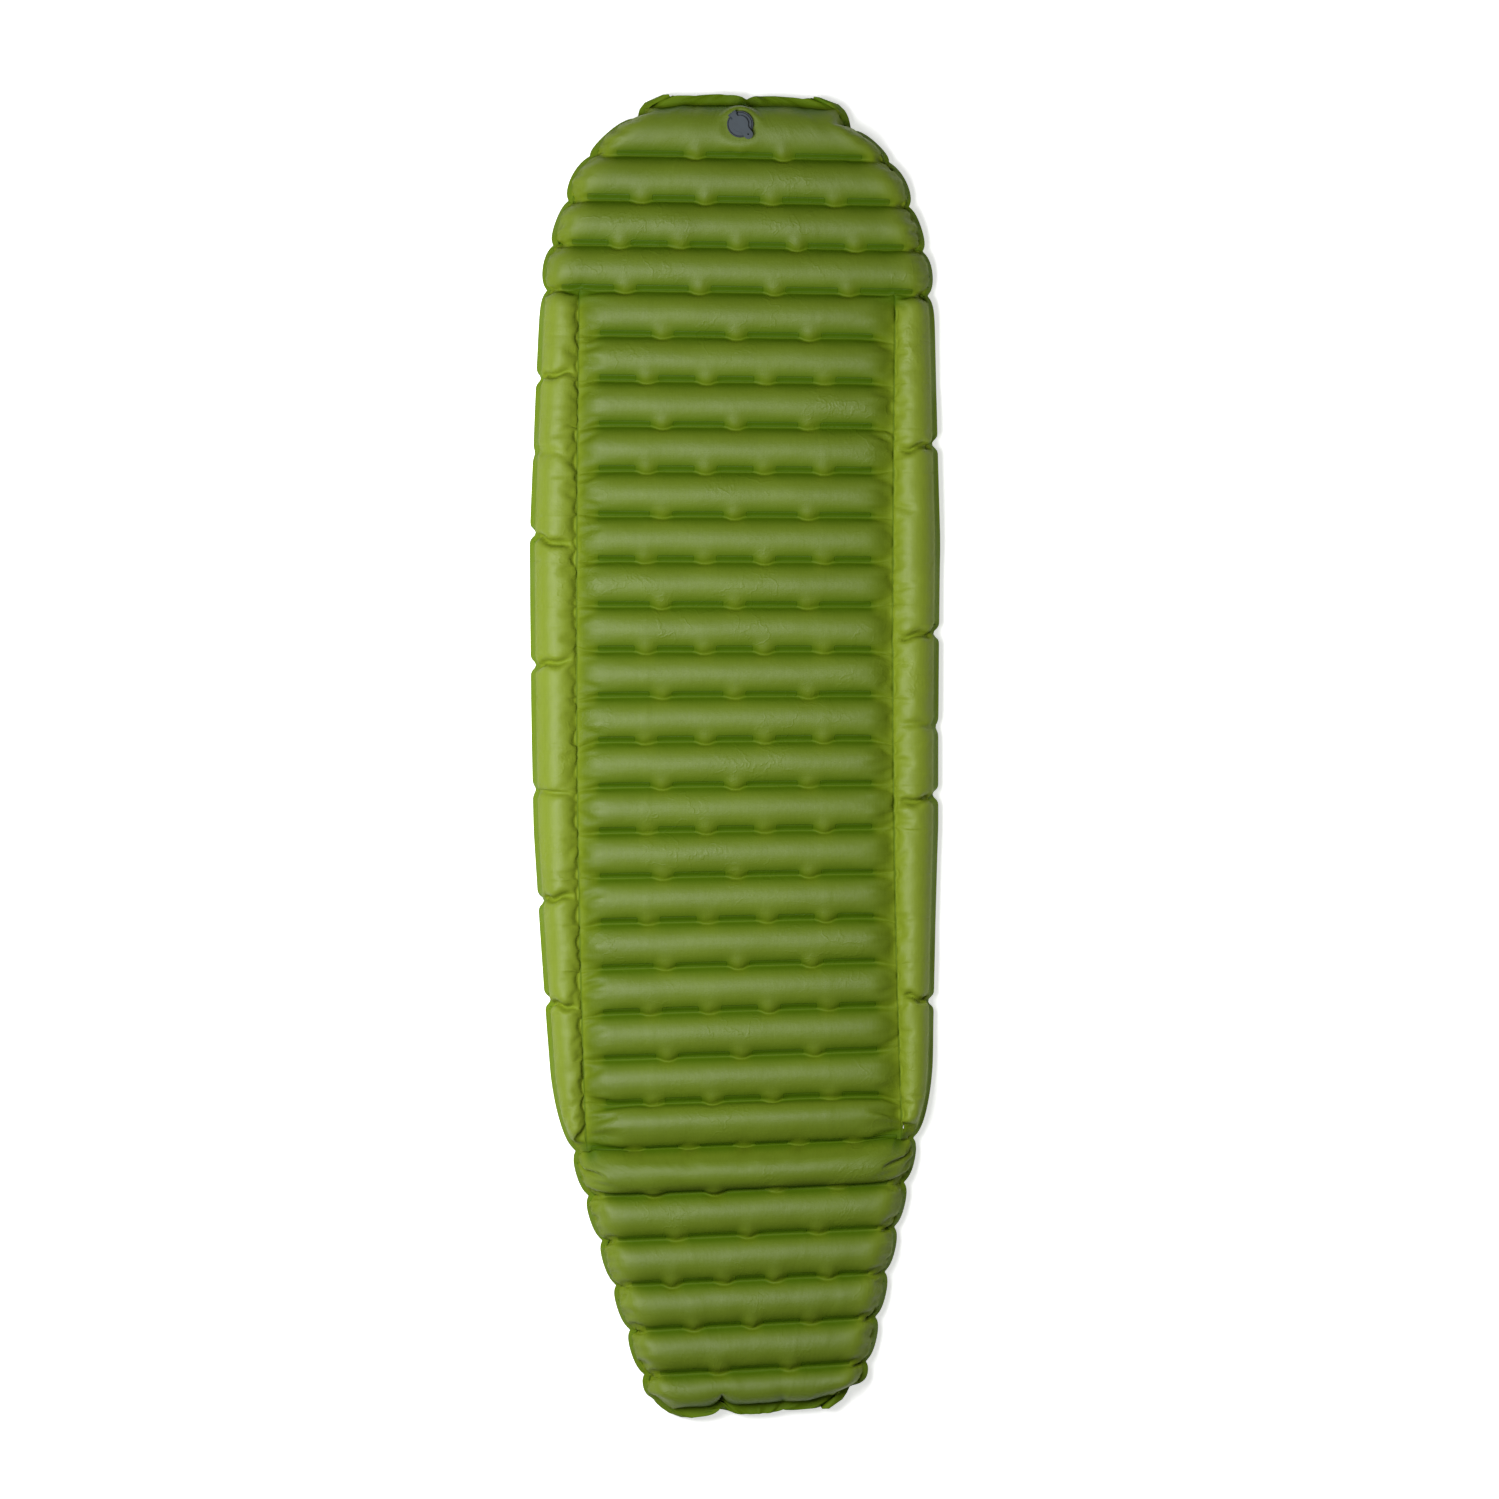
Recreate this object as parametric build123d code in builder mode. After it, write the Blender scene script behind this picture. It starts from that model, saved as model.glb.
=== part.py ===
"""Inflatable sleeping pad: two welded fabric sheets, the baffles between them and a two-stage valve.

Frame: millimetres, +X to the right, +Y to the head (valve) end, +Z up. The origin is under the
middle of the pad, on the surface that it rests on. The pad lies in a slight bow, so everything is
placed by its distance across and along a spine curve that on_spine() turns into X and Y.
"""

import os
from math import cos, radians, sin, sqrt

from build123d import *

os.makedirs("parts", exist_ok=True)

# --- pad: overall ---------------------------------------------------------------------------
HEAD_END = 923.0  # outer edge of the weld flange at the head, along the spine
FOOT_END = -923.0
THICKNESS = 63.5  # over the flat strips on the tube crests
SHEET = 1.0  # modelled sheet thickness
FLANGE = 13.0  # flat perimeter weld
EDGE_RADIUS = 28.0  # roll of the tube ends down to the flange
MID_Z = THICKNESS / 2

# (half width, distance along, corner radius), from the head to the foot
OUTLINE = [
    (138, HEAD_END, 60),
    (232, 822, 150),
    (275, 690, 200),
    (288, 300, 800),
    (284, -100, 800),
    (267, -470, 400),
    (156, -897, 40),
    (115, FOOT_END, 40),
]

# --- spine: two tangent bends that meet at BOW_Y ----------------------------------------------
BOW_Y = 146.0
BOW_RADIUS_HEAD = 35000.0
BOW_RADIUS_FOOT = 17700.0
# these two centre the bowed outline on the origin
BOW_SHIFT_X = -0.42
BOW_SHIFT_Y = 1.9

# --- tubes and furrows ------------------------------------------------------------------------
TUBE_PITCH = 62.74
FIRST_FURROW = 839.3
TUBE_RADIUS = 29.0
CREST_Z = 64.0  # top of the tube arc, before the crest's flat strip
LAND_Z = 47.0  # the sheet's weld land along a furrow
CREST_SHORT = 2.4  # a furrow's flank stops this far before the crest
CUT_ABOVE = 6.0  # the furrow and seam cutters reach this far over the block
TAB_GAP = 32.0  # unwelded bridge between two weld tabs
# how many weld tabs each furrow has: four head rows, eighteen between the side rails, six foot rows
HEAD_TABS = [3, 5, 6, 5]
FIELD_TABS = [4, 5] * 9
FOOT_TABS = [6, 5, 4, 5, 4, 3]
TABS = HEAD_TABS + FIELD_TABS + FOOT_TABS
FIELD_ROWS = range(len(HEAD_TABS), len(HEAD_TABS) + len(FIELD_TABS))
FIELD_REACH = 190.0  # half length of a furrow between the rails
TAB_MARGIN = 31.0  # from the outline to the last tab of a full-width furrow
TAB_LOOK = 15.0  # the outline is read this far to each side of the furrow

# --- side rails -------------------------------------------------------------------------------
SEAM = 221.0  # rail seam, across from the spine
SEAM_LAND = 2.5  # half width of its weld land
SEAM_TAPER = 28.0
SEAM_STATIONS = 7
SEAM_CLEAR = 10.0  # from a rail web's end to the next full-width baffle

# --- baffles ----------------------------------------------------------------------------------
WEB = 0.8
TAB_WIDTH = 9.6
TAB_THICK = 0.6
WEB_OVERRUN = 1.5  # web past the last tab

# --- valve, in its own frame: +X towards its hinge, Z = 0 on the sheet's outer face ------------
VALVE_ALONG = 878.0
VALVE_TURN = 128.0  # direction of the hinge, from +X
BASE_FLANGE_R = 22.0
BASE_FLANGE_T = 1.2
BASE_LAND = 0.6  # the sheet's flat land round the weld flange
NECK_R = 16.0
NECK_CLEAR = 0.1
NECK_BORE_R = 13.3
NECK_DEPTH = 8.0
COLLAR_R = 18.3
COLLAR_FLOOR = 2.4
COLLAR_WALL = 1.4
COLLAR_TOP = 4.0
COLLAR_ROUND = 0.5
RIM_R = 15.75
RIM_LOW = 2.6
RIM_TOP = 4.6
SKIRT_R = 13.0
SKIRT_WALL = 1.6
SPIGOT_R = 9.5
SPIGOT_BORE_R = 7.5  # where the pump's nozzle goes in
SPIGOT_TOP = 6.4
SHOULDER_Z = 0.4  # the nozzle stops here
SHOULDER_R = 7.1
PLUG_LOW = -6.0
SEAL_IN_R = 13.6
SEAL_OUT_R = 15.2
SEAL_TOP = 3.0
SEAL_CLEAR = 0.1
HUB_R = 2.5
HUB_HOLE_R = 1.1
HUB_THICK = 1.2
RIB = 1.2
RIB_OVERLAP = 0.5
GUIDE_CLEAR = 0.05
GUIDE_WALL = 1.0
STEM_R = 0.95
BULB_R = 1.6
BULB_HEIGHT = 1.2
BULB_TAPER = 25.0
FLAP_R = 9.0
FLAP_THICK = 0.8
FLAP_TRAVEL = 2.0
CAP_R = 11.3
CAP_LOW = 6.6
CAP_TOP = 8.2
CAP_SKIRT_LOW = 5.0
CAP_SKIRT_IN_R = 9.8
TAB_REACH = 25.0
TAB_HALF = 6.3
TAB_HOLE_R = 1.2
TAB_HOLE_X = -18.2
TAB_FLARE = 4.5
HINGE_X = 18.2
HINGE_Z = 6.6
BARREL_R = 1.7
STRAP_HALF = 4.1
STRAP_LENGTH = HINGE_X
CHEEK_IN = 4.3
CHEEK_OUT = 5.85
CHEEK_START = 12.5
CHEEK_TOP = 8.3
CHEEK_NOSE = 20.0
CHEEK_ROOT = 0.4  # how deep the cheeks sit in the rim
CHEEK_CHAMFER = 1.2
CHEEK_ROUND = 1.6
CHEEK_TOE = 1.0
CHEEK_BACK = 2.4
PIN_R = 0.9
PIN_CLEAR = 0.05


def bow_radius(along):
    """Radius of the spine on this side of BOW_Y."""
    return BOW_RADIUS_HEAD if along > BOW_Y else BOW_RADIUS_FOOT


def spine_slope(along):
    """How far the spine leans in X for each millimetre along."""
    return (along - BOW_Y) / bow_radius(along)


def on_spine(across, along):
    """X and Y of a point that is `across` from the spine, square to it, at `along`."""
    slope = spine_slope(along)
    length = sqrt(1 + slope**2)
    centre = BOW_SHIFT_X + (along - BOW_Y) ** 2 / (2 * bow_radius(along))
    return centre + across / length, BOW_SHIFT_Y + along - across * slope / length


def flat_plane(along, z):
    """Horizontal plane on the spine: local X runs across the pad, local Y along it."""
    x, y = on_spine(0, along)
    return Plane(origin=(x, y, z), x_dir=(1, -spine_slope(along), 0), z_dir=(0, 0, 1))


def section_plane(along):
    """Upright plane square to a furrow: local X runs along the pad, local Y is up."""
    x, y = on_spine(0, along)
    slope = spine_slope(along)
    return Plane(origin=(x, y, 0), x_dir=(slope, 1, 0), z_dir=(1, -slope, 0))


def furrow_along(row):
    return FIRST_FURROW - row * TUBE_PITCH


def half_width(along):
    """Half width of the outline, read between its corners."""
    for (w0, y0, _), (w1, y1, _) in zip(OUTLINE, OUTLINE[1:]):
        if y1 <= along <= y0:
            return w1 + (w0 - w1) * (along - y1) / (y0 - y1)
    return 0.0


def tab_reach(row):
    """Half length of a furrow's row of weld tabs."""
    if row in FIELD_ROWS:
        return FIELD_REACH
    along = furrow_along(row)
    return min(half_width(along - TAB_LOOK), half_width(along + TAB_LOOK)) - TAB_MARGIN


def plan_face(inset):
    """The pad's plan outline, moved in by `inset`."""
    right = [on_spine(w, y) for w, y, _ in OUTLINE]
    left = [on_spine(-w, y) for w, y, _ in reversed(OUTLINE)]
    radii = [r for _, _, r in OUTLINE]
    with BuildSketch() as plan:
        with BuildLine():
            FilletPolyline(*right, *left, radius=radii + radii[::-1], close=True)
        make_face()
        if inset:
            offset(amount=-inset, kind=Kind.INTERSECTION)
    return plan.sketch


def furrow_cutter(row, skin):
    """Takes one furrow out of a block: a flat land between the round flanks of two tubes."""
    low = LAND_Z - skin
    radius = TUBE_RADIUS - skin
    centre_u = TUBE_PITCH / 2
    centre_z = CREST_Z - TUBE_RADIUS
    land = centre_u - sqrt(radius**2 - (low - centre_z) ** 2)
    lip = (centre_u - CREST_SHORT, centre_z + sqrt(radius**2 - CREST_SHORT**2))
    middle_u = (land + lip[0]) / 2
    middle = (middle_u, centre_z + sqrt(radius**2 - (centre_u - middle_u) ** 2))
    roof = THICKNESS + CUT_ABOVE
    widest = max(w for w, _, _ in OUTLINE)
    reach = (FIELD_REACH if row in FIELD_ROWS else widest) + skin
    with BuildPart() as cutter:
        with BuildSketch(section_plane(furrow_along(row))):
            with BuildLine():
                ThreePointArc((land, low), middle, lip)
                Polyline(lip, (lip[0], roof), (-lip[0], roof), (-lip[0], lip[1]))
                ThreePointArc((-lip[0], lip[1]), (-middle[0], middle[1]), (-land, low))
                Line((-land, low), (land, low))
            make_face()
        extrude(amount=reach, both=True)
    return cutter.part


def seam_outline(side, half, clear):
    """Corners of a strip along a rail seam, between the full-width furrows at its two ends."""
    start = furrow_along(FIELD_ROWS[0] - 1) - clear
    end = furrow_along(FIELD_ROWS[-1] + 1) + clear
    stations = [start + (end - start) * i / (SEAM_STATIONS - 1) for i in range(SEAM_STATIONS)]
    outer = [on_spine(side * (SEAM + half), y) for y in stations]
    inner = [on_spine(side * (SEAM - half), y) for y in reversed(stations)]
    return outer + inner


def seam_cutter(side, skin):
    """Takes the groove over one rail seam out of a block."""
    low = LAND_Z - skin
    with BuildPart() as cutter:
        with BuildSketch(Plane.XY.offset(low)):
            Polygon(*seam_outline(side, SEAM_LAND + skin, 0), align=None)
        extrude(amount=THICKNESS + CUT_ABOVE - low, taper=-SEAM_TAPER)
    return cutter.part


def puffed_block(skin):
    """The upper half of the inflated body as a solid block, `skin` inside its outer face."""
    plan = plan_face(FLANGE + skin)
    cutters = [furrow_cutter(row, skin) for row in range(len(TABS))]
    cutters += [seam_cutter(side, skin) for side in (-1, 1)]
    with BuildPart() as block:
        with BuildSketch(Plane.XY.offset(MID_Z)):
            add(plan)
        extrude(amount=MID_Z - skin)
        rim = block.faces().sort_by(Axis.Z)[-1].edges()
        fillet(rim, radius=EDGE_RADIUS - skin)
        add(cutters, mode=Mode.SUBTRACT)
    return block.part


def finish(part, name):
    part.label = name
    export_step(part, f"parts/{name}.step")


# --- sheets -----------------------------------------------------------------------------------
outer_block = puffed_block(0)
cavity_block = puffed_block(SHEET)
whole_plan = plan_face(0)
valve_x, valve_y = on_spine(0, VALVE_ALONG)
land_radius = BASE_FLANGE_R + BASE_LAND

with BuildPart() as top_sheet:
    with BuildSketch(Plane.XY.offset(MID_Z)):
        add(whole_plan)
    extrude(amount=SHEET)
    add(outer_block)
    # the sheet lies flat over the valve's weld flange
    with BuildSketch(Plane.XY.offset(MID_Z)):
        with Locations((valve_x, valve_y)):
            Circle(land_radius)
    extrude(amount=MID_Z)
    add(cavity_block, mode=Mode.SUBTRACT)
    with BuildSketch(Plane.XY.offset(MID_Z)):
        with Locations((valve_x, valve_y)):
            Circle(land_radius - SHEET / 2)
    extrude(amount=MID_Z - SHEET, mode=Mode.SUBTRACT)
    with BuildSketch(Plane.XY.offset(THICKNESS - 2 * SHEET)):
        with Locations((valve_x, valve_y)):
            Circle(NECK_R + NECK_CLEAR)
    extrude(amount=3 * SHEET, mode=Mode.SUBTRACT)
finish(top_sheet.part, "top_sheet")

with BuildPart() as upper_shell:
    with BuildSketch(Plane.XY.offset(MID_Z)):
        add(whole_plan)
    extrude(amount=SHEET)
    add(outer_block)
    add(cavity_block, mode=Mode.SUBTRACT)

with BuildPart() as bottom_sheet:
    mirror(upper_shell.part, about=Plane.XY.offset(MID_Z))
finish(bottom_sheet.part, "bottom_sheet")

# --- baffles: one folded strip under each furrow, welded to both sheets by its tabs -------------
WEB_TOP = LAND_Z - SHEET
WEB_LOW = THICKNESS - WEB_TOP
for row, tabs in enumerate(TABS):
    along = furrow_along(row)
    reach = tab_reach(row)
    tab_length = (2 * reach - (tabs - 1) * TAB_GAP) / tabs
    with BuildPart() as baffle:
        with BuildSketch(flat_plane(along, WEB_LOW)):
            with Locations((0, (WEB - TAB_WIDTH) / 2)):
                Rectangle(2 * (reach + WEB_OVERRUN), WEB)
        extrude(amount=WEB_TOP - WEB_LOW)
        for level in (WEB_LOW, WEB_TOP - TAB_THICK):
            with BuildSketch(flat_plane(along, level)):
                with GridLocations(tab_length + TAB_GAP, 1, tabs, 1):
                    Rectangle(tab_length, TAB_WIDTH)
            extrude(amount=TAB_THICK)
    finish(baffle.part, f"baffle_{row + 1:02d}")

for side, name in ((-1, "left_rail_web"), (1, "right_rail_web")):
    layers = [
        (WEB / 2, WEB_LOW, WEB_TOP - WEB_LOW),
        (SEAM_LAND, WEB_LOW, TAB_THICK),
        (SEAM_LAND, WEB_TOP - TAB_THICK, TAB_THICK),
    ]
    with BuildPart() as rail_web:
        for half, low, height in layers:
            with BuildSketch(Plane.XY.offset(low)):
                Polygon(*seam_outline(side, half, SEAM_CLEAR), align=None)
            extrude(amount=height)
    finish(rail_web.part, name)

# --- valve ------------------------------------------------------------------------------------
turn = radians(VALVE_TURN)
valve_axes = {"x_dir": (cos(turn), sin(turn), 0), "z_dir": (0, 0, 1)}


def valve_level(z):
    """Horizontal plane of the valve's own frame."""
    return Plane(origin=(valve_x, valve_y, THICKNESS + z), **valve_axes)


def valve_section(offset_y=0.0):
    """Upright plane of the valve's frame through its axis: local X to the hinge, local Y up."""
    side_on = Plane(
        origin=(valve_x, valve_y, THICKNESS),
        x_dir=(cos(turn), sin(turn), 0),
        z_dir=(sin(turn), -cos(turn), 0),
    )
    return side_on.offset(offset_y)


valve_axis = Axis((valve_x, valve_y, THICKNESS), (0, 0, 1))

with BuildPart() as valve_base:
    with BuildSketch(valve_section()):
        Polygon(
            (NECK_BORE_R, -NECK_DEPTH),
            (NECK_R, -NECK_DEPTH),
            (NECK_R, -SHEET - BASE_FLANGE_T),
            (BASE_FLANGE_R, -SHEET - BASE_FLANGE_T),
            (BASE_FLANGE_R, -SHEET),
            (NECK_R, -SHEET),
            (NECK_R, 0),
            (COLLAR_R, 0),
            (COLLAR_R, COLLAR_TOP),
            (COLLAR_R - COLLAR_WALL, COLLAR_TOP),
            (COLLAR_R - COLLAR_WALL, COLLAR_FLOOR),
            (NECK_BORE_R, COLLAR_FLOOR),
            align=None,
        )
    revolve(axis=valve_axis)
    fillet(valve_base.edges().group_by(Axis.Z)[-1], radius=COLLAR_ROUND)
finish(valve_base.part, "valve_base")

with BuildPart() as deflation_plug:
    with BuildSketch(valve_section()):
        Polygon(
            (SHOULDER_R, PLUG_LOW),
            (SPIGOT_R, PLUG_LOW),
            (SPIGOT_R, RIM_LOW),
            (SKIRT_R - SKIRT_WALL, RIM_LOW),
            (SKIRT_R - SKIRT_WALL, PLUG_LOW),
            (SKIRT_R, PLUG_LOW),
            (SKIRT_R, RIM_LOW),
            (SEAL_IN_R - SEAL_CLEAR, RIM_LOW),
            (SEAL_IN_R - SEAL_CLEAR, SEAL_TOP),
            (SEAL_OUT_R + SEAL_CLEAR, SEAL_TOP),
            (SEAL_OUT_R + SEAL_CLEAR, RIM_LOW),
            (RIM_R, RIM_LOW),
            (RIM_R, RIM_TOP),
            (SPIGOT_R, RIM_TOP),
            (SPIGOT_R, SPIGOT_TOP),
            (SPIGOT_BORE_R, SPIGOT_TOP),
            (SPIGOT_BORE_R, SHOULDER_Z),
            (SHOULDER_R, SHOULDER_Z),
            align=None,
        )
    revolve(axis=valve_axis)
    # two cheeks that carry the cap's hinge
    round_inset = CHEEK_ROUND * (1 - sqrt(0.5))
    for y in (-CHEEK_OUT, CHEEK_IN):
        with BuildSketch(valve_section(-y)):
            with BuildLine():
                Polyline(
                    (CHEEK_START, RIM_TOP - CHEEK_ROOT),
                    (RIM_R - CHEEK_ROOT, RIM_TOP - CHEEK_ROOT),
                    (RIM_R - CHEEK_ROOT, RIM_TOP),
                    (CHEEK_NOSE - CHEEK_CHAMFER, RIM_TOP),
                    (CHEEK_NOSE, RIM_TOP + CHEEK_CHAMFER),
                    (CHEEK_NOSE, CHEEK_TOP - CHEEK_ROUND),
                )
                ThreePointArc(
                    (CHEEK_NOSE, CHEEK_TOP - CHEEK_ROUND),
                    (CHEEK_NOSE - round_inset, CHEEK_TOP - round_inset),
                    (CHEEK_NOSE - CHEEK_ROUND, CHEEK_TOP),
                )
                Polyline(
                    (CHEEK_NOSE - CHEEK_ROUND, CHEEK_TOP),
                    (HINGE_X - CHEEK_BACK, CHEEK_TOP),
                    (CHEEK_START, RIM_TOP + CHEEK_TOE),
                    (CHEEK_START, RIM_TOP - CHEEK_ROOT),
                )
            make_face()
            with Locations((HINGE_X, HINGE_Z)):
                Circle(PIN_R + PIN_CLEAR, mode=Mode.SUBTRACT)
        extrude(amount=-(CHEEK_OUT - CHEEK_IN))
finish(deflation_plug.part, "deflation_plug")

# spider that snaps into the plug's lower mouth and guides the flap's stem
guide_r = SHOULDER_R - GUIDE_CLEAR
guide_bore_r = guide_r - GUIDE_WALL
with BuildPart() as flap_guide:
    with BuildSketch(valve_level(PLUG_LOW)):
        Circle(guide_r)
        Circle(guide_bore_r, mode=Mode.SUBTRACT)
        Circle(HUB_R)
        with PolarLocations((HUB_R + guide_bore_r) / 2, 3):
            Rectangle(guide_bore_r - HUB_R + 2 * RIB_OVERLAP, RIB)
        Circle(HUB_HOLE_R, mode=Mode.SUBTRACT)
    extrude(amount=HUB_THICK)
finish(flap_guide.part, "flap_guide")

with BuildPart() as plug_seal:
    with BuildSketch(valve_level(COLLAR_FLOOR)):
        Circle(SEAL_OUT_R)
        Circle(SEAL_IN_R, mode=Mode.SUBTRACT)
    extrude(amount=SEAL_TOP - COLLAR_FLOOR)
finish(plug_seal.part, "plug_seal")

with BuildPart() as check_flap:
    hub_top = PLUG_LOW + HUB_THICK
    with BuildSketch(valve_level(PLUG_LOW - FLAP_THICK)):
        Circle(FLAP_R)
    extrude(amount=FLAP_THICK)
    with BuildSketch(valve_level(PLUG_LOW)):
        Circle(STEM_R)
    extrude(amount=HUB_THICK + FLAP_TRAVEL)
    with BuildSketch(valve_level(hub_top + FLAP_TRAVEL)):
        Circle(BULB_R)
    extrude(amount=BULB_HEIGHT, taper=BULB_TAPER)
finish(check_flap.part, "check_flap")

with BuildPart() as inflation_cap:
    with BuildSketch(valve_level(CAP_LOW)) as cap_plan:
        Circle(CAP_R)
        with Locations(((TAB_HALF - TAB_REACH) / 2, 0)):
            Rectangle(TAB_REACH - TAB_HALF, 2 * TAB_HALF)
        corners = cap_plan.vertices().filter_by(lambda v: abs(v.X**2 + v.Y**2 - CAP_R**2) < 0.1)
        fillet(corners.sort_by(Axis.X)[:2], radius=TAB_FLARE)
        with Locations((TAB_HALF - TAB_REACH, 0)):
            Circle(TAB_HALF)
        with Locations((STRAP_LENGTH / 2, 0)):
            Rectangle(STRAP_LENGTH, 2 * STRAP_HALF)
        with Locations((TAB_HOLE_X, 0)):
            Circle(TAB_HOLE_R, mode=Mode.SUBTRACT)
    extrude(amount=CAP_TOP - CAP_LOW)
    # skirt that closes over the spigot
    with BuildSketch(valve_level(CAP_SKIRT_LOW)):
        Circle(CAP_R)
        Circle(CAP_SKIRT_IN_R, mode=Mode.SUBTRACT)
    extrude(amount=CAP_LOW - CAP_SKIRT_LOW)
    # barrel and its pin, in the plug's cheeks
    for radius, half in ((BARREL_R, STRAP_HALF), (PIN_R, CHEEK_OUT)):
        with BuildSketch(valve_section()):
            with Locations((HINGE_X, HINGE_Z)):
                Circle(radius)
        extrude(amount=half, both=True)
finish(inflation_cap.part, "inflation_cap")
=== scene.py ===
"""The sleeping pad's fabric, finishes, light and camera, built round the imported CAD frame.

The fabric is inflated by a small solver of this script's own: a square-woven sheet, held where it's
welded to the baffles along short tabs, to the two rail webs along their seams, and drawn in at the rim.
Lengths are in millimetres, as in the CAD, until build_sheet() turns them into metres.
"""

from math import atan2, cos, pi, sin, tan

import bpy
import numpy as np
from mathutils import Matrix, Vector


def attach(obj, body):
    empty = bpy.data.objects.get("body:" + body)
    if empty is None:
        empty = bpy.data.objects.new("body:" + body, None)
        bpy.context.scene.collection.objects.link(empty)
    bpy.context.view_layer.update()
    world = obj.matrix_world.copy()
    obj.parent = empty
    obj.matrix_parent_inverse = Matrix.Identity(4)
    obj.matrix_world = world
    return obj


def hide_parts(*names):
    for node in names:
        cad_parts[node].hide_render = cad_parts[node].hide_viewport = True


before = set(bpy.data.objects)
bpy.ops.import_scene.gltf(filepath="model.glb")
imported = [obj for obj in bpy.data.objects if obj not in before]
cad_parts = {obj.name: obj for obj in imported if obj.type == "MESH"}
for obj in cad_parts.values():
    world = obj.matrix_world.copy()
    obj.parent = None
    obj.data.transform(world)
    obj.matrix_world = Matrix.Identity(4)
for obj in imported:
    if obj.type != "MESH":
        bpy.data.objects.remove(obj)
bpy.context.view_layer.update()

# --- the pad, as in the CAD ---------------------------------------------------------------------
HEAD_END = 923.0
FOOT_END = -923.0
THICKNESS = 63.5
MID_Z = THICKNESS / 2
FLANGE = 13.0
# (half width, distance along, corner radius), from the head to the foot
OUTLINE = [
    (138, HEAD_END, 60),
    (232, 822, 150),
    (275, 690, 200),
    (288, 300, 800),
    (284, -100, 800),
    (267, -470, 400),
    (156, -897, 40),
    (115, FOOT_END, 40),
]
BOW_Y = 146.0
BOW_RADIUS_HEAD = 35000.0
BOW_RADIUS_FOOT = 17700.0
BOW_SHIFT_X = -0.42
BOW_SHIFT_Y = 1.9
TUBE_PITCH = 62.74
FIRST_FURROW = 839.3
ROWS = 28
TABS = [3, 5, 6, 5] + [4, 5] * 9 + [6, 5, 4, 5, 4, 3]
RAIL_START_ROW = 3
RAIL_END_ROW = 22
FIELD_REACH = 190.0
TAB_GAP = 32.0
TAB_MARGIN = 31.0
TAB_LOOK = 15.0
WEB_OVERRUN = 1.5
SEAM = 221.0
VALVE_ALONG = 878.0

# --- the fabric's own sizes ---------------------------------------------------------------------
LIP_BACK = 4.8  # a weld's foot edge, where the baffle pulls, from the furrow line
STRIP = 10.0  # width of a weld tab
WELD_Z = 47.0  # the sheet over a weld, just clear of the baffle below it
SEAM_Z = 47.2
RIM_SHOWN = 7.5  # the side rims hang down, so less of their width shows
RAIL_ZONE = 67.0  # the outer zone of the full-width tubes, whose columns run with the outline
HOLE_RADIUS = 17.2  # the sheet's hole for the valve, hidden under the collar
BOSS_RADIUS = 24.5  # the sheet is flat over the valve's weld flange

# --- seeds, one for each use of random numbers ----------------------------------------------------
LEAN_SEED = 8
SEAM_RIPPLE_SEED = 12
INSIDE_PUCKER_SEED = 18
OUTSIDE_PUCKER_SEED = 19
GATHER_SEED = 28
WOBBLE_ALONG_SEED = 38
WOBBLE_ACROSS_SEED = 48
SIDE_RIM_SEED = 58
END_RIM_SEED = 62
SEAM_PIN_SEED = 68
PACKING_SEEDS = (78, 79)
PACKING_FADE = 5  # from a packing fold's seed to the seed of its strength
END_GATHER_SEED = 88
BRIDGE_SEED = 98


# --- plan geometry ------------------------------------------------------------------------------
def on_spine(across, along):
    """X and Y, in millimetres, of points given across and along the bowed spine."""
    radius = np.where(along > BOW_Y, BOW_RADIUS_HEAD, BOW_RADIUS_FOOT)
    slope = (along - BOW_Y) / radius
    length = np.sqrt(1 + slope**2)
    x = BOW_SHIFT_X + (along - BOW_Y) ** 2 / (2 * radius) + across / length
    y = BOW_SHIFT_Y + along - across * slope / length
    return x, y


CORNER_POINTS = 9


def rounded_outline():
    """Distances along and half widths of the outline, with its corners rounded, from foot to head."""
    corners = [np.array((w, y), float) for w, y, _ in OUTLINE]
    corners = [np.array((0.0, HEAD_END))] + corners + [np.array((0.0, FOOT_END))]
    points = [corners[0]]
    for before, corner, after, (_, _, radius) in zip(corners, corners[1:], corners[2:], OUTLINE):
        into = (corner - before) / np.linalg.norm(corner - before)
        out = (after - corner) / np.linalg.norm(after - corner)
        turn = atan2(abs(into[0] * out[1] - into[1] * out[0]), float(into @ out))
        reach = radius * tan(turn / 2)
        start, end = corner - reach * into, corner + reach * out
        for t in np.linspace(0, 1, CORNER_POINTS):
            points.append((1 - t) ** 2 * start + 2 * t * (1 - t) * corner + t**2 * end)
    points.append(corners[-1])
    table = np.array(points)[::-1]
    return table[:, 1], table[:, 0]


OUTLINE_ALONG, OUTLINE_WIDTH = rounded_outline()
OUTLINE_ALONG = OUTLINE_ALONG + np.arange(len(OUTLINE_ALONG)) * 1e-6  # np.interp needs rising values
END_INSET = 0.3  # the half width at an end is read this far inside it


def half_width(along):
    inner = np.clip(along, FOOT_END + END_INSET, HEAD_END - END_INSET)
    return np.interp(inner, OUTLINE_ALONG, OUTLINE_WIDTH)


def furrow_along(row):
    return FIRST_FURROW - row * TUBE_PITCH


def lip_along(row):
    return furrow_along(row) - LIP_BACK


def tab_reach(row):
    """Half length of a furrow's row of weld tabs."""
    if RAIL_START_ROW < row < RAIL_END_ROW:
        return FIELD_REACH
    along = furrow_along(row)
    return min(half_width(along - TAB_LOOK), half_width(along + TAB_LOOK)) - TAB_MARGIN


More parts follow.
